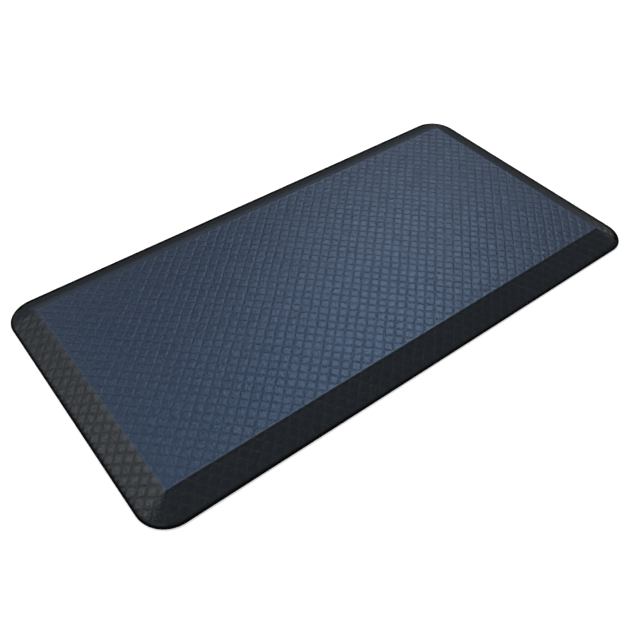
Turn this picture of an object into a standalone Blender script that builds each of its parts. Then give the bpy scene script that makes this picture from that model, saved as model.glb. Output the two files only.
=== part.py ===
"""Anti-fatigue standing mat, about 39 x 20 x 7/8 inch, as four bonded layers.

Metres, +Z up. The origin is on the floor, under the middle of the mat. The long side runs
along X and the short side along Y. From the floor up the layers are:

    base_sheet    the thin non-slip underside
    foam_core     the thick cushion, a slab whose four sides are bevelled
    border_skin   the tough skin on the four bevels, with the upright rim round the edge
    field_skin    the tough skin on the flat top that people stand on

The real layers are bonded face to face. Here a thin gap is left where two of them meet.
"""

import math

import bmesh
import bpy

# Overall size
LENGTH = 0.991
WIDTH = 0.508
HEIGHT = 0.022

# Outline and bevels
OUTER_RADIUS = 0.049       # rounded corners of the outline, seen from above
BEVEL_INSET = 0.0465       # from the outline to the crease round the flat top
RIM_TOP = 0.0032           # where the upright rim ends and the bevel starts
ARC_STEPS = 14             # straight pieces in each rounded corner

# Layers
GAP = 0.0003               # left between two layers that meet
BASE_THICKNESS = 0.0015
BASE_SETBACK = 0.0010      # the base sheet stops this far inside the rim
SKIN_THICKNESS = 0.0012
RIM_WIDTH = 0.0050         # solid toe of the border skin, where the foam tapers out

BORDER_BOTTOM = BASE_THICKNESS + GAP
CORE_CLEARANCE = SKIN_THICKNESS + GAP
BEVEL_ANGLE = math.atan2(HEIGHT - RIM_TOP, BEVEL_INSET)

# Colours (linear RGB) and roughness
FIELD_BLUE = (0.045, 0.066, 0.100, 1.0)
BORDER_CHARCOAL = (0.022, 0.024, 0.027, 1.0)
FOAM_GREY = (0.050, 0.052, 0.056, 1.0)
BASE_BLACK = (0.012, 0.012, 0.013, 1.0)


def make_material(name, colour, roughness):
    material = bpy.data.materials.new(name)
    material.use_nodes = True
    shader = material.node_tree.nodes["Principled BSDF"]
    shader.inputs["Base Color"].default_value = colour
    shader.inputs["Roughness"].default_value = roughness
    shader.inputs["Metallic"].default_value = 0.0
    return material


def rounded_loop(bm, inset, z):
    """Vertices of the mat's outline, moved in by inset, anticlockwise from above."""
    radius = OUTER_RADIUS - inset
    centre_x = LENGTH / 2 - OUTER_RADIUS
    centre_y = WIDTH / 2 - OUTER_RADIUS
    corners = ((1, -1, -90), (1, 1, 0), (-1, 1, 90), (-1, -1, 180))
    loop = []
    for side_x, side_y, start in corners:
        for step in range(ARC_STEPS + 1):
            angle = math.radians(start + 90 * step / ARC_STEPS)
            x = side_x * centre_x + radius * math.cos(angle)
            y = side_y * centre_y + radius * math.sin(angle)
            loop.append(bm.verts.new((x, y, z)))
    return loop


def square_loop(bm, inset, z):
    """A sharp-cornered loop as long as a rounded one: each corner is one vertex, repeated."""
    loop = []
    for side_x, side_y in ((1, -1), (1, 1), (-1, 1), (-1, -1)):
        x = side_x * (LENGTH / 2 - inset)
        y = side_y * (WIDTH / 2 - inset)
        corner = bm.verts.new((x, y, z))
        loop.extend([corner] * (ARC_STEPS + 1))
    return loop


def bridge(bm, lower, upper):
    """Faces from one loop to the next. A repeated vertex turns its quad into a triangle."""
    count = len(lower)
    for index in range(count):
        following = (index + 1) % count
        ring = (lower[index], lower[following], upper[following], upper[index])
        corners = list(dict.fromkeys(ring))
        if len(corners) > 2:
            bm.faces.new(corners)


def cap(bm, loop):
    bm.faces.new(list(dict.fromkeys(loop)))


def crease_inset(depth):
    """Inset of the crease on a surface that lies depth below the outer surface."""
    return BEVEL_INSET + depth * math.tan(BEVEL_ANGLE / 2)


def bevel_height(inset, depth):
    """Height of the bevel at an inset, on a surface that lies depth below the outer one."""
    return RIM_TOP + inset * math.tan(BEVEL_ANGLE) - depth / math.cos(BEVEL_ANGLE)


def finish_object(name, bm, material):
    bmesh.ops.recalc_face_normals(bm, faces=bm.faces)
    mesh = bpy.data.meshes.new(name)
    bm.to_mesh(mesh)
    bm.free()
    mesh.materials.append(material)
    mesh.shade_smooth()
    mesh.set_sharp_from_angle(angle=math.radians(12))
    layer = bpy.data.objects.new(name, mesh)
    bpy.context.scene.collection.objects.link(layer)
    return layer


def make_base_sheet():
    bm = bmesh.new()
    bottom = rounded_loop(bm, BASE_SETBACK, 0.0)
    top = rounded_loop(bm, BASE_SETBACK, BASE_THICKNESS)
    cap(bm, bottom)
    bridge(bm, bottom, top)
    cap(bm, top)
    return finish_object("base_sheet", bm, make_material("base_black", BASE_BLACK, 0.85))


def make_foam_core():
    side = RIM_WIDTH + GAP
    bm = bmesh.new()
    bottom = rounded_loop(bm, side, BORDER_BOTTOM)
    shoulder = rounded_loop(bm, side, bevel_height(side, CORE_CLEARANCE))
    crease = square_loop(bm, crease_inset(CORE_CLEARANCE), HEIGHT - CORE_CLEARANCE)
    cap(bm, bottom)
    bridge(bm, bottom, shoulder)
    bridge(bm, shoulder, crease)
    cap(bm, crease)
    return finish_object("foam_core", bm, make_material("foam_grey", FOAM_GREY, 0.9))


def make_border_skin():
    bm = bmesh.new()
    loops = [
        rounded_loop(bm, 0.0, BORDER_BOTTOM),
        rounded_loop(bm, 0.0, RIM_TOP),
        square_loop(bm, BEVEL_INSET, HEIGHT),
        square_loop(bm, crease_inset(SKIN_THICKNESS), HEIGHT - SKIN_THICKNESS),
        rounded_loop(bm, RIM_WIDTH, bevel_height(RIM_WIDTH, SKIN_THICKNESS)),
        rounded_loop(bm, RIM_WIDTH, BORDER_BOTTOM),
    ]
    for index, loop in enumerate(loops):
        bridge(bm, loop, loops[(index + 1) % len(loops)])
    material = make_material("border_charcoal", BORDER_CHARCOAL, 0.55)
    return finish_object("border_skin", bm, material)


def make_field_skin():
    """Its edge slants inward by half the bevel's angle, as the border skin's inner edge does."""
    side = GAP / math.cos(BEVEL_ANGLE / 2)
    bm = bmesh.new()
    bottom = square_loop(bm, crease_inset(SKIN_THICKNESS) + side, HEIGHT - SKIN_THICKNESS)
    top = square_loop(bm, BEVEL_INSET + side, HEIGHT)
    cap(bm, bottom)
    bridge(bm, bottom, top)
    cap(bm, top)
    return finish_object("field_skin", bm, make_material("field_blue", FIELD_BLUE, 0.5))


def main():
    for old in list(bpy.data.objects):
        bpy.data.objects.remove(old, do_unlink=True)

    mat = bpy.data.objects.new("anti_fatigue_mat", None)
    bpy.context.scene.collection.objects.link(mat)
    for make_layer in (make_base_sheet, make_foam_core, make_border_skin, make_field_skin):
        make_layer().parent = mat


main()
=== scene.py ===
"""Looks of the anti-fatigue mat: moulded skins with real embossing, a foam slab and a grip base."""
import math

import bmesh
import bpy
import numpy as np
from mathutils import Euler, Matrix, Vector


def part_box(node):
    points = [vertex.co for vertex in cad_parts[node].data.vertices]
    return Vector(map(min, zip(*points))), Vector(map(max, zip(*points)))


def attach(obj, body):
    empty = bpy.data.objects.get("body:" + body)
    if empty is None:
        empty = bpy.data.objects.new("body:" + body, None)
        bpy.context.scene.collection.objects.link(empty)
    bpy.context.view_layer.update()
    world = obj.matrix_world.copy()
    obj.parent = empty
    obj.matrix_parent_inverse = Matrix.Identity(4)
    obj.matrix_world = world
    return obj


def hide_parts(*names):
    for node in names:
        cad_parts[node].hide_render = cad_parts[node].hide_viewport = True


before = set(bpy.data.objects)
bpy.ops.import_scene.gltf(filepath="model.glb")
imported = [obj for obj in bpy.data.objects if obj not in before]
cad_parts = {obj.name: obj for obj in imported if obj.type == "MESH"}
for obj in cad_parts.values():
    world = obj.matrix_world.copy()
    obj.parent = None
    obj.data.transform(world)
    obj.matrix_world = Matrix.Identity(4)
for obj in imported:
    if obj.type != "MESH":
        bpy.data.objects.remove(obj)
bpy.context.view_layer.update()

MM = 0.001
BODY = "root"

# ---------------------------------------------------------------- sizes, read from the frame
(LOW_X, LOW_Y, RIM_BOTTOM), (HIGH_X, HIGH_Y, TOP_Z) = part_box("border_skin")
HALF_X = (HIGH_X - LOW_X) / 2
HALF_Y = (HIGH_Y - LOW_Y) / 2
SKIN = TOP_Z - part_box("field_skin")[0][2]         # thickness of the skin
BASE_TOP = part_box("base_sheet")[1][2]

# ---------------------------------------------------------------- shape of the outside
CORNER_RADIUS = 49.0 * MM
BEVEL_INSET = 46.5 * MM
RIM_TOP = 3.2 * MM                                # where the upright rim would meet the bevel
RIM_TOE = 5.0 * MM                                # width of the solid toe under the rim
RIM_ROUND = 1.6 * MM                              # radius that the skin turns over the rim with
SLOPE = (TOP_Z - RIM_TOP) / BEVEL_INSET
BEVEL_ANGLE = math.atan(SLOPE)
CREASE_SOFT = 1.3 * MM                            # half width of the rounding at the crease
CREASE_X = HALF_X - BEVEL_INSET
CREASE_Y = HALF_Y - BEVEL_INSET
ARC_CUTS = 20                                     # straight cuts in each rounded corner

# ---------------------------------------------------------------- embossing
PITCH = 15.6 * MM                                 # from groove to groove, along either diagonal
SHIFT_U = -5.7 * MM                               # where one groove of each family runs
SHIFT_V = -5.1 * MM
GROOVE_DEPTH = 0.32 * MM
GROOVE_HALF = 2.6 * MM                            # half width of a groove, shoulder to middle
SHADE_HALF = 3.8 * MM                             # half width of the painted shade, a darker colour along a groove
CROWN = 0.10 * MM                                 # how far a pad's middle stands above its edge
BORDER_CROWN = 0.23 * MM                          # and how much more on the bevels
BORDER_GROOVE = 0.5                               # depth of the bevels' grooves, as a share
BORDER_BLEND = 12.0 * MM                          # the field's embossing turns into the bevels' here
CREASE_FLAT = 1.6 * MM                            # the embossing is weaker this near the crease,
CREASE_LOSS = 0.6                                 # where it loses this share of its depth
PLAIN_EDGE = 3.0 * MM                             # and it fades out in this band along the rim

# ---------------------------------------------------------------- unevenness of the moulding
GRID = 96                                         # more lattice steps than the mat has
RANDOM = np.random.default_rng(11)
CROSSING_SHIFT = RANDOM.normal(0.0, 0.026, (2, GRID, GRID))       # in pitches
PAD_LIFT = RANDOM.normal(0.0, 0.05 * MM, (GRID, GRID))
PAD_TILT = RANDOM.normal(0.0, 0.010, (2, GRID, GRID))             # slopes
PAD_TONE = RANDOM.uniform(0.0, 1.0, (GRID, GRID))

# ---------------------------------------------------------------- colour zones of the skin
CREASE_HIGHLIGHT = 1.3 * MM                            # half width of the paler line along the crease, a painted highlight
SHADOW_LINE = 2.5 * MM                            # a dark line lies this far outside the near crease
SHADOW_HALF = 1.0 * MM
EDGE_SHADE_WIDTH = 20.0 * MM                            # the field's blue is duller along its edges, painted shade
RUN_ON_WIDTH = 8.0 * MM                           # the blue runs on this far over the left crease
FAR_SHEEN_RUN_ON = 14.0 * MM                            # and this much further over the far one, a painted sheen
RIGHT_SHEEN_RUN_ON = 16.0 * MM                          # and over the right one, also a painted sheen
BACK_SHADE_BAND = 9.0 * MM                              # the matt black band along the far and right rims, painted shade

# ---------------------------------------------------------------- studio
SOFTBOX_SIZE = 1.3                                # metres
SOFTBOX_REACH = 3.0
HORIZON = 0.08                                    # soft light from all round, weakest down low
ZENITH = 0.26
FLOOR_GLOW = 0.56                                 # keeps the floor white under the soft light
FAR_GLOW = 0.88                                   # and far from the mat, where the lights don't reach
LIT_FLOOR = (1.2, 4.5)                            # the lights fade out between these distances


# ================================================================ the outside as a height map
def crease_distance(x, y):
    """Signed plan distance outward from the crease, and the bevel's run along that line."""
    over_x = np.abs(x) - CREASE_X
    over_y = np.abs(y) - CREASE_Y
    lead = CORNER_RADIUS - BEVEL_INSET
    reach = np.hypot(over_x, over_y) + 1e-12
    ray_x = over_x / reach
    ray_y = over_y / reach
    along = lead * (ray_x + ray_y)
    fan_run = -along + np.sqrt(along**2 - 2 * lead**2 + CORNER_RADIUS**2)
    edge = lead / BEVEL_INSET
    in_fan = ((over_x > -edge * over_y) & (over_y > 0)) & ((over_y > -edge * over_x) & (over_x > 0))
    in_fan |= (over_y > 0) & (over_x <= 0) & (over_x > -edge * over_y)
    in_fan |= (over_x > 0) & (over_y <= 0) & (over_y > -edge * over_x)
    distance = np.where(in_fan, reach, np.maximum(over_x, over_y))
    run = np.where(in_fan, fan_run, BEVEL_INSET)
    return distance, run


def body_height(x, y):
    """The skin's outer surface without its embossing: flat field, soft crease, straight bevels."""
    distance, run = crease_distance(x, y)
    scaled = distance * BEVEL_INSET / run
    soft = (scaled + CREASE_SOFT) ** 2 / (4 * CREASE_SOFT)
    drop = np.where(scaled > CREASE_SOFT, scaled, np.where(scaled < -CREASE_SOFT, 0.0, soft))
    return TOP_Z - SLOPE * drop


def slow_drift(x, y):
    """The pattern isn't a perfect lattice: its lines bow, most of all at the right end.

    The shift is in millimetres, and a and b run from -1 to 1 between opposite creases.
    """
    a = np.clip(x / CREASE_X, -1.3, 1.3)
    b = np.clip(y / CREASE_Y, -1.5, 1.5)
    drift_x = -0.9 * a - 8.4 * a**2 - 7.1 * a**3 - 3.1 * b**2 - 2.4 * b - 1.9 * a * b**2
    drift_y = -1.2 * a - 5.7 * a**2 - 4.4 * a**2 * b - 1.7 * b - 3.1 * b**2 - 1.2 * b**3
    return drift_x * MM, drift_y * MM


def at_crossings(table, p, q):
    """A value that runs smoothly from groove crossing to groove crossing."""
    i = np.floor(p).astype(int)
    j = np.floor(q).astype(int)
    a = p - i
    b = q - j
    a = a * a * (3 - 2 * a)
    b = b * b * (3 - 2 * b)
    i += GRID // 2
    j += GRID // 2
    near = table[i, j] * (1 - a) + table[i + 1, j] * a
    far = table[i, j + 1] * (1 - a) + table[i + 1, j + 1] * a
    return near * (1 - b) + far * b


def lattice(x, y):
    """Lattice coordinates in pitches: a groove's middle runs along every whole number."""
    drift_x, drift_y = slow_drift(x, y)
    x = x - drift_x
    y = y - drift_y
    p = ((x + y) / math.sqrt(2) - SHIFT_U) / PITCH
    q = ((y - x) / math.sqrt(2) - SHIFT_V) / PITCH
    return p - at_crossings(CROSSING_SHIFT[0], p, q), q - at_crossings(CROSSING_SHIFT[1], p, q)


def settle(p, q):
    """The place on the mat of lattice coordinates: lattice() the other way round."""
    x = (p - q) * PITCH / math.sqrt(2)
    y = (p + q) * PITCH / math.sqrt(2)
    for _ in range(8):
        found_p, found_q = lattice(x, y)
        x = x + ((p - found_p) - (q - found_q)) * PITCH / math.sqrt(2)
        y = y + ((p - found_p) + (q - found_q)) * PITCH / math.sqrt(2)
    return x, y


def pads(x, y):
    """Each point's pad, as places in the pad tables, and its offset from the pad's middle."""
    p, q = lattice(x, y)
    i = np.floor(p).astype(int)
    j = np.floor(q).astype(int)
    return i + GRID // 2, j + GRID // 2, p - i - 0.5, q - j - 0.5


def groove_profile(offset, half):
    edge = np.clip((0.5 - np.abs(offset)) * PITCH / half, 0.0, 1.0)
    return 0.5 + 0.5 * np.cos(math.pi * edge)


def pad_top(s, t, half=GROOVE_HALF):
    """1 on the flat of a pad, 0 in the middle of a groove of the given half width."""
    return (1 - groove_profile(s, half)) * (1 - groove_profile(t, half))


def emboss(x, y):
    """How far the embossed surface lies below the plain one."""
    i, j, s, t = pads(x, y)
    top = pad_top(s, t)
    crown = np.cos(math.pi * s) * np.cos(math.pi * t)
    uneven = PAD_LIFT[i, j] + PAD_TILT[0, i, j] * s * PITCH + PAD_TILT[1, i, j] * t * PITCH
    distance, _ = crease_distance(x, y)
    border = np.clip(distance / BORDER_BLEND, 0.0, 1.0)
    groove = GROOVE_DEPTH * (1 - (1 - BORDER_GROOVE) * border)
    swell = CROWN + BORDER_CROWN * border
    depth = groove * (1 - top) + swell * (1 - crown) + top * uneven
    return depth * (1 - CREASE_LOSS * np.exp(-((distance / CREASE_FLAT) ** 2)))


def skin_height(x, y):
    return body_height(x, y) - emboss(x, y)


def height_normals(height, x, y, step=0.04 * MM):
    slope_x = (height(x + step, y) - height(x - step, y)) / (2 * step)
    slope_y = (height(x, y + step) - height(x, y - step)) / (2 * step)
    normals = np.stack([-slope_x, -slope_y, np.ones_like(x)], axis=1)
    return normals / np.linalg.norm(normals, axis=1)[:, None]


# ================================================================ flat sheets of repeated cells
def pad_cell():
    """One embossed square in pitches: rings of 12 points from the groove to the pad's middle.

    A ring is a square with cut corners, given by its half width and the length of the cut.
    """
    rings = ((0.50, 0.15), (0.455, 0.14), (0.41, 0.14), (0.355, 0.13), (0.20, 0.08))
    points = []
    for half, corner in rings:
        pull = 0.0 if half == 0.50 else corner * 0.16
        quarter = ((half, half - corner), (half - pull, half - pull), (half - corner, half))
        for turn in range(4):
            for px, py in quarter:
                for _ in range(turn):
                    px, py = -py, px
                points.append((px, py))
    middle = len(points)
    points.append((0.0, 0.0))
    faces = []
    for ring in range(len(rings) - 1):
        for k in range(12):
            a = ring * 12 + k
            b = ring * 12 + (k + 1) % 12
            faces.append((a, b, b + 12, a + 12))
    last = (len(rings) - 1) * 12
    for k in range(12):
        faces.append((last + k, last + (k + 1) % 12, middle))
    return np.array(points), faces


def hex_cell(pitch):
    """One grip pad of the underside: a hexagon with a rounded shoulder and a groove round it."""
    outer = pitch / math.sqrt(3)
    radii = (outer, outer - 0.7 * MM, outer - 1.5 * MM)
    points = []
    for radius in radii:
        for k in range(6):
            angle = math.radians(30 + 60 * k)
            points.append((radius * math.cos(angle), radius * math.sin(angle)))
    middle = len(points)
    points.append((0.0, 0.0))
    faces = []
    for ring in range(len(radii) - 1):
        for k in range(6):
            a = ring * 6 + k
            b = ring * 6 + (k + 1) % 6
            faces.append((a, b, b + 6, a + 6))
    last = (len(radii) - 1) * 6
    for k in range(6):
        faces.append((last + k, last + (k + 1) % 6, middle))
    return np.array(points), faces


def in_place(x, y):
    return x, y


def tile(points, faces, step_a, step_b, start, keep, place=in_place):
    """Repeats a cell on a lattice, where keep(x, y) holds for its middle, and joins the seams."""
    span = 2 * HALF_X if place is in_place else 2 * HALF_X / PITCH
    reach = int(span / min(np.hypot(*step_a), np.hypot(*step_b))) + 2
    i, j = np.meshgrid(np.arange(-reach, reach + 1), np.arange(-reach, reach + 1))
    middles = start + i.reshape(-1, 1) * np.array(step_a) + j.reshape(-1, 1) * np.array(step_b)
    if place is settle:
        middles = middles[np.abs(middles).max(axis=1) < GRID // 2 - 9]
    middles = middles[keep(*place(middles[:, 0], middles[:, 1]))]
    spots = (middles[:, None, :] + points[None, :, :]).reshape(-1, 2)
    step = 0.001 * max(np.hypot(*step_a), np.hypot(*step_b))
    _, first, number = np.unique(
        np.round(spots / step).astype(np.int64), axis=0, return_index=True, return_inverse=True
    )
    number = number.reshape(len(middles), len(points))
    ground = np.zeros((len(first), 3))
    ground[:, 0], ground[:, 1] = place(spots[first][:, 0], spots[first][:, 1])
    polygons = []
    for face in faces:
        polygons.extend(number[:, face].tolist())
    mesh = bpy.data.meshes.new("tiles")
    mesh.from_pydata(ground.tolist(), [], polygons)
    bm = bmesh.new()
    bm.from_mesh(mesh)
    bpy.data.meshes.remove(mesh)
    return bm


def square_tiles(keep):
    points, faces = pad_cell()
    return tile(points, faces, (1, 0), (0, 1), np.array((0.5, 0.5)), keep, settle)


# ================================================================ cutting a flat sheet
def cut(bm, near, point, direction):
    """Splits the faces for which near(x, y) holds, along the upright plane through point."""
    faces = []
    for face in bm.faces:
        centre = face.calc_center_median()
        if near(centre.x, centre.y):
            faces.append(face)
    verts = list(dict.fromkeys(v for face in faces for v in face.verts))
    edges = list(dict.fromkeys(e for face in faces for e in face.edges))
    bmesh.ops.bisect_plane(
        bm, geom=verts + edges + faces, dist=0.002 * MM,
        plane_co=(*point, 0.0), plane_no=(*direction, 0.0),
    )


def cut_rectangle(bm, x, y):
    for side in (-1, 1):
        cut(bm, lambda px, py: abs(px - side * x) < PITCH, (side * x, 0), (1, 0))
        cut(bm, lambda px, py: abs(py - side * y) < PITCH, (0, side * y), (0, 1))


def cut_outline(bm, inset):
    """Cuts along the outline moved in by inset: four sides, and chords of the four arcs."""
    cut_rectangle(bm, HALF_X - inset, HALF_Y - inset)
    radius = CORNER_RADIUS - inset
    half_step = math.pi / 4 / ARC_CUTS
    reach = radius * half_step + 0.75 * PITCH
    for sx, sy in ((1, 1), (-1, 1), (-1, -1), (1, -1)):
        for k in range(ARC_CUTS):
            angle = half_step * (2 * k + 1)
            nx = sx * math.cos(angle)
            ny = sy * math.sin(angle)
            px = sx * (HALF_X - CORNER_RADIUS) + nx * radius * math.cos(half_step)
            py = sy * (HALF_Y - CORNER_RADIUS) + ny * radius * math.cos(half_step)
            cut(bm, lambda x, y: math.hypot(x - px, y - py) < reach, (px, py), (nx, ny))


def outline_inset(x, y):
    """How far inside the outline each point lies."""
    over_x = np.abs(x) - (HALF_X - CORNER_RADIUS)
    over_y = np.abs(y) - (HALF_Y - CORNER_RADIUS)
    corner = np.hypot(np.maximum(over_x, 0), np.maximum(over_y, 0))
    inside = np.minimum(np.maximum(over_x, over_y), 0)
    return CORNER_RADIUS - corner - inside


def keep_faces(bm, wanted):
    """Deletes the faces whose middle fails wanted(x, y), and what they leave behind."""
    centres = np.array([tuple(face.calc_center_median())[:2] for face in bm.faces])
    good = wanted(centres[:, 0], centres[:, 1])
    doomed = [face for face, stays in zip(bm.faces, good) if not stays]
    bmesh.ops.delete(bm, geom=doomed, context="FACES")


def lift(bm, height):
    """Moves every vertex of a flat sheet to height(x, y)."""
    places = np.array([v.co[:2] for v in bm.verts])
    heights = height(places[:, 0], places[:, 1])
    for vertex, z in zip(bm.verts, heights):
        vertex.co.z = z


# ================================================================ closing a sheet into a solid
def rims(bm):
    """The open edges as rings of vertices, each with the faces on its left, longest first."""
    following = {}
    for edge in bm.edges:
        if edge.is_boundary:
            loop = edge.link_loops[0]
            following[loop.vert] = loop.link_loop_next.vert
    rings = []
    while following:
        first = next(iter(following))
        ring = [first]
        step = following.pop(first)
        while step is not first:
            ring.append(step)
            step = following.pop(step)
        rings.append(ring)
    rings.sort(key=lambda ring: -sum((a.co - b.co).length for a, b in zip(ring, ring[1:])))
    return rings


def outward(x, y):
    """Plan direction from the middle towards the nearest point of the outline."""
    over_x = abs(x) - (HALF_X - CORNER_RADIUS)
    over_y = abs(y) - (HALF_Y - CORNER_RADIUS)
    if over_x > 0 and over_y > 0:
        length = math.hypot(over_x, over_y)
        over_x /= length
        over_y /= length
    elif over_x > over_y:
        over_x, over_y = 1.0, 0.0
    else:
        over_x, over_y = 0.0, 1.0
    return math.copysign(over_x, x), math.copysign(over_y, y)


def bridge(bm, ring, other):
    for k in range(len(ring)):
        following = (k + 1) % len(ring)
        bm.faces.new((ring[k], other[k], other[following], ring[following]))


def grow_ring(bm, ring, start_inset, inset, height):
    """A new ring beside an outline ring, at another inset, joined on with faces."""
    grown = []
    for vertex in ring:
        nx, ny = outward(vertex.co.x, vertex.co.y)
        x = vertex.co.x + nx * (start_inset - inset)
        y = vertex.co.y + ny * (start_inset - inset)
        grown.append(bm.verts.new((x, y, height(x, y))))
    bridge(bm, ring, grown)
    return grown


def flat(z):
    return lambda x, y: z


def finish_piece(name, bm, material, node, normals_of=None):
    bm.normal_update()
    mesh = bpy.data.meshes.new(name)
    bm.to_mesh(mesh)
    bm.free()
    mesh.materials.append(material)
    mesh.shade_smooth()
    mesh.set_sharp_from_angle(angle=math.radians(50))
    places = np.zeros(len(mesh.vertices) * 3)
    mesh.vertices.foreach_get("co", places)
    places = places.reshape(-1, 3)
    if normals_of:
        mesh.normals_split_custom_set_from_vertices(normals_of(places).tolist())
    piece = bpy.data.objects.new(name, mesh)
    bpy.context.scene.collection.objects.link(piece)
    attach(piece, BODY)
    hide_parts(node)
    return piece, places


def add_mask(piece, name, values):
    layer = piece.data.attributes.new(name, "FLOAT", "POINT")
    layer.data.foreach_set("value", np.clip(values, 0.0, 1.0).astype(np.float32))


def skin_normals(places):
    """Exact normals where the surface is the height map, none (automatic) everywhere else."""
    x, y, z = places.T
    normals = height_normals(skin_height, x, y)
    on_map = np.abs(z - skin_height(x, y)) < 0.001 * MM
    normals[~on_map] = 0.0
    return normals


def back_share(x, y):
    """0 along the near and left sides, 1 along the far and right ones."""
    return np.clip(0.5 + 2.5 * (x / HALF_X + y / HALF_Y), 0.0, 1.0)


def blue_run_on_and_sheen(x, y, distance):
    """How much of the field's blue is left on the bevels, just outside the crease.

    On the far and right bevels it is painted sheen, on the left a soft colour edge.
    """
    far = (y > CREASE_Y) & (y - CREASE_Y > np.abs(x) - CREASE_X)
    right = (x > CREASE_X) & (x - CREASE_X >= np.abs(y) - CREASE_Y)
    left = (x < -CREASE_X) & (-x - CREASE_X >= np.abs(y) - CREASE_Y)
    share = 1.3 * far + 0.45 * right + 0.55 * left
    width = RUN_ON_WIDTH + FAR_SHEEN_RUN_ON * far + RIGHT_SHEEN_RUN_ON * right
    return np.clip(share * (1 - distance / width), 0.0, 1.0)


def add_skin_masks(piece, places):
    """Masks from 0 to 1 on the vertices, which skin_material() mixes its colours by."""
    x, y, z = places.T
    distance, _ = crease_distance(x, y)
    i, j, s, t = pads(x, y)
    on_top = z > body_height(x, y) - 1.5 * GROOVE_DEPTH - CROWN - BORDER_CROWN
    # where the grooves get painted shade
    add_mask(piece, "groove", (1 - pad_top(s, t, SHADE_HALF)) * on_top)
    add_mask(piece, "tone", 0.5 + (PAD_TONE[i, j] - 0.5) * pad_top(s, t))
    # a paler line along the crease, painted highlight
    add_mask(piece, "crease", np.exp(-((distance / CREASE_HIGHLIGHT) ** 2)) * on_top)
    near = (y < 0) & (np.abs(x) < CREASE_X)
    shadow = np.exp(-(((distance - SHADOW_LINE) / SHADOW_HALF) ** 2))
    add_mask(piece, "outside", shadow * on_top * near)
    # the field's blue run on over the crease: painted sheen on the far and right bevels
    add_mask(piece, "blue", blue_run_on_and_sheen(x, y, distance) * on_top)
    # painted shade that dulls the field's blue along its edges
    inside = np.maximum(-distance, 0.0)
    add_mask(piece, "fade", np.exp(-inside / EDGE_SHADE_WIDTH) * (distance < 0) * on_top)

    # the black rim, painted shade: where it starts to turn charcoal, and over what width it does
    back = back_share(x, y)
    left = x < -np.abs(y) * HALF_X / HALF_Y
    start = 3.0 * MM + 4.5 * MM * back - 0.5 * MM * left
    band = 4.5 * MM + 4.0 * MM * back - 2.5 * MM * left
    add_mask(piece, "rim", 1.0 - (outline_inset(x, y) - start) / band)


# ================================================================ materials
FIELD_BLUE = (0.0385, 0.0490, 0.0800)
EDGE_SHADE_BLUE = (0.0340, 0.0410, 0.0580)             # the field's blue along its edges, duller as painted shade
RUN_ON_AND_SHEEN_BLUE = (0.0390, 0.0565, 0.0880)            # and where it runs on over the crease, painted sheen on the far and right bevels
BORDER_CHARCOAL = (0.0116, 0.0179, 0.0247)
# the near-black of the rim, painted shade
RIM_SHADE_COLOUR = (0.0025, 0.0028, 0.0033)
POLISHED_HIGHLIT_BLUE = (0.036, 0.056, 0.090)             # the two skins where the crease is polished, paler as a painted highlight
POLISHED_HIGHLIT_CHARCOAL = (0.020, 0.024, 0.028)


class Nodes:
    """A short way to write a Principled material's node tree. Texture scales are per metre."""

    def __init__(self, name):
        self.material = bpy.data.materials.new(name)
        self.material.use_nodes = True
        self.tree = self.material.node_tree
        self.shader = self.tree.nodes["Principled BSDF"]
        self.place = self.add("ShaderNodeTexCoord").outputs["Object"]

    def add(self, kind, **settings):
        node = self.tree.nodes.new(kind)
        for key, value in settings.items():
            setattr(node, key, value)
        return node

    def link(self, source, target):
        self.tree.links.new(source, target)

    def noise(self, scale, detail=2.0, roughness=0.5):
        node = self.add("ShaderNodeTexNoise")
        node.inputs["Scale"].default_value = scale
        node.inputs["Detail"].default_value = detail
        node.inputs["Roughness"].default_value = roughness
        self.link(self.place, node.inputs["Vector"])
        return node.outputs["Fac"]

    def cells(self, scale, feature="F1"):
        node = self.add("ShaderNodeTexVoronoi", feature=feature)
        node.inputs["Scale"].default_value = scale
        self.link(self.place, node.inputs["Vector"])
        return node.outputs["Distance"]

    def mask(self, name):
        return self.add("ShaderNodeAttribute", attribute_name=name).outputs["Fac"]

    def math(self, operation, a, b=None):
        node = self.add("ShaderNodeMath", operation=operation)
        for socket, value in zip(node.inputs, (a, b)):
            if isinstance(value, (int, float)):
                socket.default_value = value
            elif value is not None:
                self.link(value, socket)
        return node.outputs[0]

    def between(self, factor, low, high, start=0.0, end=1.0):
        """Maps start to end onto low to high, as numbers."""
        node = self.add("ShaderNodeMapRange")
        node.inputs["From Min"].default_value = start
        node.inputs["From Max"].default_value = end
        node.inputs["To Min"].default_value = low
        node.inputs["To Max"].default_value = high
        self.link(factor, node.inputs["Value"])
        return node.outputs["Result"]

    def mix(self, factor, a, b):
        node = self.add("ShaderNodeMix", data_type="RGBA")
        for name, value in (("Factor", factor), ("A", a), ("B", b)):
            socket = node.inputs[name]
            if isinstance(value, bpy.types.NodeSocket):
                self.link(value, socket)
            elif isinstance(value, tuple):
                socket.default_value = (*value, 1.0)
            else:
                socket.default_value = value
        return node.outputs["Result"]

    def bump(self, height, distance, strength=1.0, under=None):
        node = self.add("ShaderNodeBump")
        node.inputs["Distance"].default_value = distance
        node.inputs["Strength"].default_value = strength
        self.link(height, node.inputs["Height"])
        if under is not None:
            self.link(under, node.inputs["Normal"])
        return node.outputs["Normal"]


def shade(colour, factor):
    return tuple(channel * factor for channel in colour)


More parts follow.
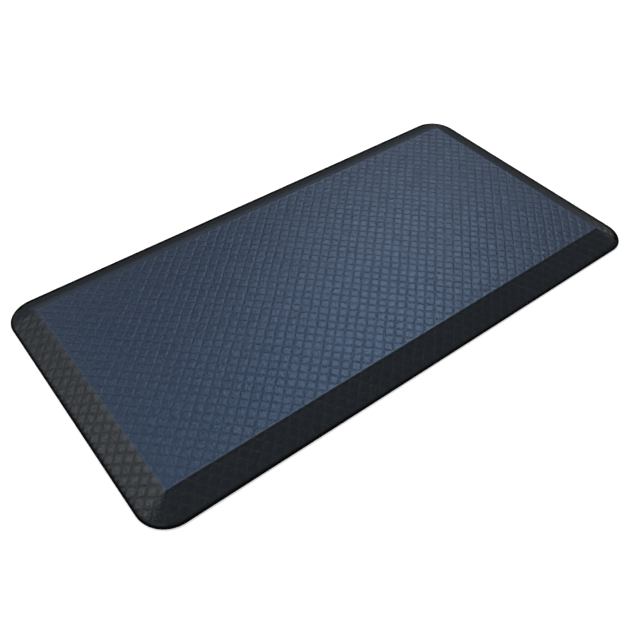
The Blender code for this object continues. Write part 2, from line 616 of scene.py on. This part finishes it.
def skin_material(name, plain, groove_shade_share, mottle, crease, specular, tint, roughness):
    """Moulded polyurethane skin: mottled pads with a leathery grain, coloured by the masks.

    groove_shade_share and mottle say how strong the painted shade in the grooves and the mottling
    are, and crease is the colour of the paler line along the crease, a painted highlight. specular
    and tint set the sheen, and roughness is its range between the finest speckles.
    """
    n = Nodes(name)
    speckle = n.noise(950.0, 2.0, 0.6)
    blotches = n.between(n.noise(340.0, 2.0, 0.6), 0.0, 1.0, 0.36, 0.64)
    tone = n.mix(n.mask("tone"), shade(plain, 0.82), shade(plain, 1.18))
    tone = n.mix(mottle, tone, n.mix(blotches, shade(plain, 0.4), shade(plain, 1.6)))
    tone = n.mix(n.between(n.noise(7.0, 3.0), 0.0, 0.25), tone, shade(plain, 1.25))
    tone = n.mix(n.between(speckle, 0.0, 0.35), tone, shade(plain, 0.6))
    # painted shade darkens the grooves
    tone = n.mix(n.math("MULTIPLY", n.mask("groove"), groove_shade_share), tone, shade(plain, 0.45))
    # painted shade dulls the field's blue along its edges
    tone = n.mix(n.math("MULTIPLY", n.mask("fade"), 0.5), tone, EDGE_SHADE_BLUE)
    # the blue run on over the crease, painted sheen on the far and right bevels
    tone = n.mix(n.math("MULTIPLY", n.mask("blue"), 0.9), tone, RUN_ON_AND_SHEEN_BLUE)
    tone = n.mix(n.math("MULTIPLY", n.mask("outside"), 0.8), tone, shade(plain, 0.2))
    # painted highlight: a paler line along the crease
    tone = n.mix(n.math("MULTIPLY", n.mask("crease"), 0.6), tone, crease)
    # painted shade: the skin turns near-black towards the rim
    tone = n.mix(n.math("MULTIPLY", n.mask("rim"), 0.92), tone, RIM_SHADE_COLOUR)
    n.link(tone, n.shader.inputs["Base Color"])
    rough = n.between(speckle, *roughness)
    rough = n.math("ADD", rough, n.math("MULTIPLY", n.mask("groove"), 0.15))
    rough = n.math("ADD", rough, n.math("MULTIPLY", n.mask("rim"), 0.60))
    n.link(rough, n.shader.inputs["Roughness"])
    n.shader.inputs["Specular IOR Level"].default_value = specular
    n.shader.inputs["Specular Tint"].default_value = (*tint, 1.0)
    pebbles = n.bump(n.noise(260.0, 2.0, 0.5), 0.0006)
    pores = n.bump(n.cells(480.0), 0.00016, 1.0, pebbles)
    grain = n.bump(n.noise(1500.0, 3.0, 0.6), 0.00012, 1.0, pores)
    n.link(grain, n.shader.inputs["Normal"])
    return n.material


def crease_material(name, plain):
    """The crease, smoother from the mould and polished by wear, and paler as a painted highlight."""
    n = Nodes(name)
    tone = n.mix(n.noise(120.0, 3.0, 0.6), shade(plain, 0.85), shade(plain, 1.2))
    n.link(tone, n.shader.inputs["Base Color"])
    n.link(n.between(n.noise(500.0), 0.20, 0.32), n.shader.inputs["Roughness"])
    n.shader.inputs["Specular IOR Level"].default_value = 0.42
    n.link(n.bump(n.noise(900.0, 2.0, 0.5), 0.00005), n.shader.inputs["Normal"])
    return n.material


def paint_faces(piece, material, wanted):
    """Gives a second material to the faces for which wanted(x, y, z) holds at their middle."""
    mesh = piece.data
    mesh.materials.append(material)
    centres = np.zeros(len(mesh.polygons) * 3)
    mesh.polygons.foreach_get("center", centres)
    chosen = wanted(*centres.reshape(-1, 3).T)
    numbers = np.zeros(len(mesh.polygons), dtype=np.int32)
    mesh.polygons.foreach_get("material_index", numbers)
    numbers[chosen] = len(mesh.materials) - 1
    mesh.polygons.foreach_set("material_index", numbers)


def at_crease(x, y, z):
    """The crease of the two long sides, which feet polish as they step on and off."""
    along = np.abs(np.abs(y) - CREASE_Y) < CREASE_SOFT
    return along & (np.abs(x) < CREASE_X) & (z > TOP_Z - 2 * MM)


# faces given the near-black rim, painted shade, in a wider band along the far and right sides
def at_rim(x, y, z):
    band = np.where(back_share(x, y) > 0.5, BACK_SHADE_BAND, PLAIN_EDGE)
    return (outline_inset(x, y) < band) | (z < RIM_BOTTOM + 0.05 * MM)


def shaded_rim_material():
    """The same skin where it turns over the rim: matt and finely pitted, and nearly black as painted
    shade.
    """
    n = Nodes("shaded_black_rim_skin")
    tone = n.mix(n.noise(900.0, 3.0, 0.6), shade(RIM_SHADE_COLOUR, 0.6), shade(RIM_SHADE_COLOUR, 1.6))
    n.link(tone, n.shader.inputs["Base Color"])
    n.link(n.between(n.noise(300.0), 0.62, 0.80), n.shader.inputs["Roughness"])
    n.shader.inputs["Specular IOR Level"].default_value = 0.03
    n.link(n.bump(n.noise(1500.0, 3.0, 0.6), 0.00012), n.shader.inputs["Normal"])
    return n.material


def foam_material():
    n = Nodes("foam_cells")
    bubbles = n.cells(700.0)
    tone = n.mix(n.between(bubbles, 0.0, 1.0), (0.030, 0.031, 0.034), (0.075, 0.078, 0.083))
    n.link(tone, n.shader.inputs["Base Color"])
    n.link(n.between(n.noise(60.0), 0.82, 0.97), n.shader.inputs["Roughness"])
    n.shader.inputs["Specular IOR Level"].default_value = 0.25
    n.link(n.bump(bubbles, 0.0006, 0.8), n.shader.inputs["Normal"])
    return n.material


def grip_material():
    n = Nodes("grip_rubber")
    tone = n.mix(n.noise(35.0, 4.0), (0.008, 0.008, 0.009), (0.020, 0.020, 0.022))
    n.link(tone, n.shader.inputs["Base Color"])
    n.link(n.between(n.noise(240.0), 0.68, 0.88), n.shader.inputs["Roughness"])
    n.link(n.bump(n.noise(900.0, 3.0, 0.6), 0.0003, 0.6), n.shader.inputs["Normal"])
    return n.material


# ================================================================ pieces
def make_field():
    """The flat top, embossed, cut clean along the crease, with the skin's thickness below it."""
    margin = PITCH
    bm = square_tiles(lambda x, y: (np.abs(x) < CREASE_X + margin) & (np.abs(y) < CREASE_Y + margin))
    cut_rectangle(bm, CREASE_X, CREASE_Y)
    keep_faces(bm, lambda x, y: (np.abs(x) < CREASE_X) & (np.abs(y) < CREASE_Y))
    cut_rectangle(bm, CREASE_X - CREASE_SOFT, CREASE_Y - CREASE_SOFT)
    lift(bm, skin_height)
    ring = rims(bm)[0]
    skirt = []
    corners = []
    for vertex in ring:
        x, y = vertex.co.x, vertex.co.y
        if abs(abs(x) - CREASE_X) < 0.01 * MM and abs(abs(y) - CREASE_Y) < 0.01 * MM:
            corners.append(vertex)
            skirt.append(bm.verts.new((x, y, TOP_Z - SKIN)))
    for k, corner in enumerate(corners):
        first = ring.index(corner)
        last = ring.index(corners[(k + 1) % 4])
        side = ring[first:last + 1] if last > first else ring[first:] + ring[:last + 1]
        bm.faces.new([skirt[k], skirt[(k + 1) % 4]] + side[::-1])
    bm.faces.new(skirt[::-1])
    bmesh.ops.recalc_face_normals(bm, faces=bm.faces)
    # the grooves get painted shade, and the crease colour is a painted highlight line
    material = skin_material(
        "blue_moulded_skin", FIELD_BLUE, groove_shade_share=0.45, mottle=0.7,
        crease=(0.060, 0.078, 0.100), specular=0.65, tint=(0.3, 0.57, 1.0), roughness=(0.18, 0.29),
    )
    piece, places = finish_piece("field_top", bm, material, "field_skin", skin_normals)
    paint_faces(piece, crease_material("blue_crease", POLISHED_HIGHLIT_BLUE), at_crease)
    add_skin_masks(piece, places)


def make_border():
    """The four embossed bevels with the rounded corners, the upright rim and the skin's inside."""
    margin = PITCH
    bm = square_tiles(
        lambda x, y: ((np.abs(x) > CREASE_X - margin) | (np.abs(y) > CREASE_Y - margin))
        & (outline_inset(x, y) > -margin)
    )
    cut_rectangle(bm, CREASE_X, CREASE_Y)
    keep_faces(bm, lambda x, y: (np.abs(x) > CREASE_X) | (np.abs(y) > CREASE_Y))
    for beside in (CREASE_SOFT, 2.5 * MM, 4.0 * MM):
        cut_rectangle(bm, CREASE_X + beside, CREASE_Y + beside)
    cut_outline(bm, BACK_SHADE_BAND)
    cut_outline(bm, PLAIN_EDGE)
    keep_faces(bm, lambda x, y: outline_inset(x, y) > PLAIN_EDGE)
    lift(bm, skin_height)
    outer, inner = rims(bm)

    # the embossing fades out, then the skin turns over the rounded rim and down to its toe
    ring = outer
    inset = PLAIN_EDGE
    for next_inset, depth in ((2.4 * MM, 0.45), (1.9 * MM, 0.0)):
        ring = grow_ring(bm, ring, inset, next_inset,
                         lambda x, y: float(body_height(x, y) - depth * emboss(x, y)))
        inset = next_inset
    centre_z = RIM_TOP + SLOPE * RIM_ROUND - RIM_ROUND / math.cos(BEVEL_ANGLE)
    for part in (1.0, 0.66, 0.33, 0.0):
        angle = part * (math.pi / 2 - BEVEL_ANGLE)
        next_inset = RIM_ROUND * (1 - math.cos(angle))
        ring = grow_ring(bm, ring, inset, next_inset, flat(centre_z + RIM_ROUND * math.sin(angle)))
        inset = next_inset
    foot = 0.25 * MM
    for next_inset, z in ((0.0, RIM_BOTTOM + foot), (foot, RIM_BOTTOM), (RIM_TOE, RIM_BOTTOM)):
        ring = grow_ring(bm, ring, inset, next_inset, flat(z))
        inset = next_inset
    toe_top = RIM_TOP + SLOPE * RIM_TOE - SKIN / math.cos(BEVEL_ANGLE)
    toe = grow_ring(bm, ring, inset, RIM_TOE, flat(toe_top))

    # the inner edge drops from the crease to the underside of the skin
    under = []
    for vertex in inner:
        under.append(bm.verts.new((vertex.co.x, vertex.co.y, TOP_Z - SKIN)))
    bridge(bm, inner, under)
    edges = []
    for loop in (toe, under):
        for k, vertex in enumerate(loop):
            edges.append(bm.edges.get((vertex, loop[(k + 1) % len(loop)])))
    bmesh.ops.bridge_loops(bm, edges=edges)
    bmesh.ops.recalc_face_normals(bm, faces=bm.faces)
    # the crease colour is a painted highlight line along the crease
    material = skin_material(
        "charcoal_moulded_skin", BORDER_CHARCOAL, groove_shade_share=0.0, mottle=0.4,
        crease=(0.030, 0.035, 0.040), specular=0.3, tint=(1.0, 1.0, 1.0), roughness=(0.27, 0.40),
    )
    piece, places = finish_piece(
        "border_bevels", bm, material, "border_skin", skin_normals
    )
    paint_faces(piece, crease_material("charcoal_crease", POLISHED_HIGHLIT_CHARCOAL), at_crease)
    paint_faces(piece, shaded_rim_material(), at_rim)
    add_skin_masks(piece, places)


def make_foam():
    """The cushion slab, with soft edges and a slightly uneven cut surface."""
    cell = 10.0 * MM
    low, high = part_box("foam_core")
    low_z = low[2]
    gap = TOP_Z - high[2]
    inset = HALF_X - high[0]
    points = np.array(((-0.5, -0.5), (0.5, -0.5), (0.5, 0.5), (-0.5, 0.5))) * cell
    band = 1.5 * MM                               # width of the rounded shoulder
    ripple = 0.12 * MM                            # half of the cut surface's unevenness

    def top(x, y):
        wave = np.sin(x * 61.0 + 1.3 * np.sin(y * 47.0)) * np.sin(y * 83.0 + np.sin(x * 29.0))
        return body_height(x, y) - gap / math.cos(BEVEL_ANGLE) - ripple * (1 + wave)

    bm = tile(points, [(0, 1, 2, 3)], (cell, 0), (0, cell), np.zeros(2),
              lambda x, y: outline_inset(x, y) > -cell)
    cut_rectangle(bm, CREASE_X, CREASE_Y)
    cut_outline(bm, inset + band)
    keep_faces(bm, lambda x, y: outline_inset(x, y) > inset + band)
    lift(bm, top)
    ring = rims(bm)[0]
    at = inset + band
    shoulder = float(RIM_TOP + SLOPE * inset - (gap + 0.2 * MM) / math.cos(BEVEL_ANGLE))
    for next_inset, z in (
        (inset + 0.45 * MM, shoulder + 0.05 * MM), (inset + 0.1 * MM, shoulder - 0.3 * MM),
        (inset + 0.1 * MM, low_z + 0.3 * MM), (inset + 0.4 * MM, low_z),
    ):
        ring = grow_ring(bm, ring, at, next_inset, flat(z))
        at = next_inset
    bm.faces.new(ring)
    bmesh.ops.recalc_face_normals(bm, faces=bm.faces)
    piece, _ = finish_piece("foam_slab", bm, foam_material(), "foam_core")


def make_base():
    """The thin grip sheet, with a plain band round a field of moulded hexagonal pads below."""
    pitch = 15.0 * MM
    groove = 0.5 * MM
    plain_band = 9.0 * MM
    setback = HALF_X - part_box("base_sheet")[1][0]
    edge_inset = setback + 0.3 * MM
    points, faces = hex_cell(pitch)

    def under(x, y):
        """Hexagons: the distance to the nearest cell border decides the groove's depth."""
        directions = [(math.cos(math.radians(a)), math.sin(math.radians(a))) for a in (0, 60, 120)]
        row = pitch * math.sqrt(3) / 2
        j = np.round(y / row)
        best = None
        for dj in (-1, 0, 1):
            cy = (j + dj) * row
            offset = ((j + dj) % 2) * pitch / 2
            cx = np.round((x - offset) / pitch) * pitch + offset
            reach = np.max([np.abs((x - cx) * dx + (y - cy) * dy) for dx, dy in directions], axis=0)
            best = reach if best is None else np.minimum(best, reach)
        edge = np.clip((pitch / 2 - best) / (1.2 * MM), 0, 1)
        fade = np.clip((outline_inset(x, y) - plain_band) / (2.5 * MM), 0, 1)
        return groove * (0.5 + 0.5 * np.cos(math.pi * edge)) * fade

    step_b = (pitch / 2, pitch * math.sqrt(3) / 2)
    bm = tile(points, faces, (pitch, 0), step_b, np.zeros(2), lambda x, y: outline_inset(x, y) > -pitch)
    cut_outline(bm, plain_band)
    cut_outline(bm, edge_inset)
    keep_faces(bm, lambda x, y: outline_inset(x, y) > edge_inset)
    lift(bm, under)
    ring = rims(bm)[0]
    at = edge_inset
    for next_inset, z in (
        (setback + 0.05 * MM, 0.1 * MM), (setback, 0.35 * MM), (setback, BASE_TOP - 0.3 * MM),
        (edge_inset, BASE_TOP),
    ):
        ring = grow_ring(bm, ring, at, next_inset, flat(z))
        at = next_inset
    bm.faces.new(ring)
    bmesh.ops.recalc_face_normals(bm, faces=bm.faces)
    finish_piece("grip_base", bm, grip_material(), "base_sheet")


# ================================================================ stage, light and camera
def make_floor():
    n = Nodes("pale_floor")
    n.shader.inputs["Base Color"].default_value = (0.92, 0.92, 0.92, 1.0)
    n.shader.inputs["Roughness"].default_value = 0.9
    n.shader.inputs["Specular IOR Level"].default_value = 0.0
    n.shader.inputs["Emission Color"].default_value = (1.0, 1.0, 1.0, 1.0)
    away = n.add("ShaderNodeVectorMath", operation="LENGTH")
    n.link(n.place, away.inputs[0])
    glow = n.between(away.outputs["Value"], FLOOR_GLOW, FAR_GLOW, *LIT_FLOOR)
    n.link(glow, n.shader.inputs["Emission Strength"])
    bm = bmesh.new()
    bmesh.ops.create_grid(bm, x_segments=1, y_segments=1, size=12.0)
    mesh = bpy.data.meshes.new("studio_floor")
    bm.to_mesh(mesh)
    bm.free()
    mesh.materials.append(n.material)
    floor = bpy.data.objects.new("studio_floor", mesh)
    floor.visible_glossy = False
    bpy.context.scene.collection.objects.link(floor)


def make_world():
    world = bpy.data.worlds.new("studio")
    world.use_nodes = True
    tree = world.node_tree
    back = tree.nodes["Background"]
    path = tree.nodes.new("ShaderNodeLightPath")
    place = tree.nodes.new("ShaderNodeTexCoord")
    split = tree.nodes.new("ShaderNodeSeparateXYZ")
    tree.links.new(place.outputs["Generated"], split.inputs["Vector"])
    level = tree.nodes.new("ShaderNodeMapRange")
    level.inputs["From Min"].default_value = -0.05
    level.inputs["From Max"].default_value = 0.9
    level.inputs["To Min"].default_value = HORIZON
    level.inputs["To Max"].default_value = ZENITH
    tree.links.new(split.outputs["Z"], level.inputs["Value"])
    mix = tree.nodes.new("ShaderNodeMix")
    mix.data_type = "RGBA"
    tree.links.new(level.outputs["Result"], mix.inputs["A"])
    mix.inputs["B"].default_value = (1.0, 1.0, 1.0, 1.0)
    tree.links.new(path.outputs["Is Camera Ray"], mix.inputs["Factor"])
    tree.links.new(mix.outputs["Result"], back.inputs["Color"])
    bpy.context.scene.world = world


def softbox(name, azimuth, elevation, power, size=SOFTBOX_SIZE):
    """A round soft light, SOFTBOX_REACH away in the given direction, facing the mat."""
    azimuth = math.radians(azimuth)
    elevation = math.radians(elevation)
    level = math.cos(elevation)
    away = Vector((math.cos(azimuth) * level, math.sin(azimuth) * level, math.sin(elevation)))
    data = bpy.data.lights.new(name, "AREA")
    data.shape = "DISK"
    data.size = size
    data.energy = power
    light = bpy.data.objects.new(name, data)
    light.location = away * SOFTBOX_REACH
    light.rotation_euler = (-away).to_track_quat("-Z", "Y").to_euler()
    bpy.context.scene.collection.objects.link(light)


def make_lights():
    softbox("back_left_softbox", 144, 46, 22.8)
    softbox("back_softbox", 108, 46, 3.8)
    softbox("back_right_softbox", 38.5, 47, 17.2)
    softbox("top_softbox", 60, 68, 9.8)
    softbox("front_softbox", 255, 26, 8.0)
    softbox("corner_softbox", 6, 10, 2.0, 0.4)


def make_camera():
    data = bpy.data.cameras.new("camera")
    data.sensor_width = 36.0
    data.lens = 41.59
    data.shift_x = 0.0310
    camera = bpy.data.objects.new("camera", data)
    camera.location = (-0.6129, -0.7138, 0.8859)
    camera.rotation_euler = Euler(
        (math.radians(43.216), math.radians(-0.233), math.radians(-37.053))
    )
    bpy.context.scene.collection.objects.link(camera)
    bpy.context.scene.camera = camera


bpy.context.scene.view_settings.view_transform = "Standard"
make_camera()
make_floor()
make_world()
make_lights()
make_field()
make_border()
make_foam()
make_base()
